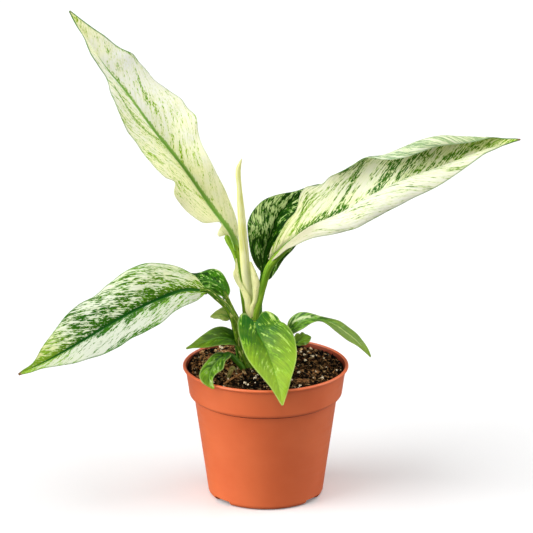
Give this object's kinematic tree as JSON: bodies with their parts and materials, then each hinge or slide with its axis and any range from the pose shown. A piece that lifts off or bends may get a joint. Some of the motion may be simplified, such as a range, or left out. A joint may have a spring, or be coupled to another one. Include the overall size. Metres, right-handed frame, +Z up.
{
  "type": "potted peace lily",
  "caption": "Variegated peace lily with cream and green marbled leaves, standing in a tapered terracotta-coloured plastic nursery pot of soil.",
  "frame": {"origin": "on the floor under the middle of the pot, on the pot's axis", "axes": "+Z up along the pot's axis; the leaves fan out along X, with the tall leaf towards -X; -Y is the front"},
  "size_m": [0.3574, 0.1381, 0.3453],
  "materials": {
    "terracotta_plastic": "satin moulded polypropylene",
    "potting_soil": "rough damp peat",
    "bark": "rough",
    "deep_green_leaf": "satin leaf skin",
    "fresh_green_leaf": "satin leaf skin",
    "cream_leaf": "satin leaf skin",
    "marbled_leaf": "satin leaf skin",
    "stalk": "satin stem skin",
    "dried_sheath": "dry and fibrous"
  },
  "bodies": {
    "root": {"bark_chip_1": "bark", "bark_chip_2": "bark", "bark_chip_3": "bark", "bark_chip_4": "bark", "bark_chip_5": "bark", "dried_sheath": "dried_sheath", "leaf_arching": "deep_green_leaf", "leaf_drooping": "deep_green_leaf", "leaf_front": "fresh_green_leaf", "leaf_low": "marbled_leaf", "leaf_pale": "deep_green_leaf", "leaf_right": "cream_leaf", "leaf_shaded": "deep_green_leaf", "leaf_side": "deep_green_leaf", "leaf_tall": "cream_leaf", "leaf_tiny": "fresh_green_leaf", "leaf_tucked": "deep_green_leaf", "new_leaf": "cream_leaf", "pot": "terracotta_plastic", "rhizome": "bark", "sheath_left": "cream_leaf", "sheath_right": "cream_leaf", "soil": "potting_soil", "stalk_arching": "stalk", "stalk_drooping": "stalk", "stalk_front": "stalk", "stalk_low": "stalk", "stalk_pale": "stalk", "stalk_right": "stalk", "stalk_shaded": "stalk", "stalk_side": "stalk", "stalk_tall": "stalk", "stalk_tiny": "stalk", "stalk_tucked": "stalk", "twig": "bark"}
  },
  "joints": []
}
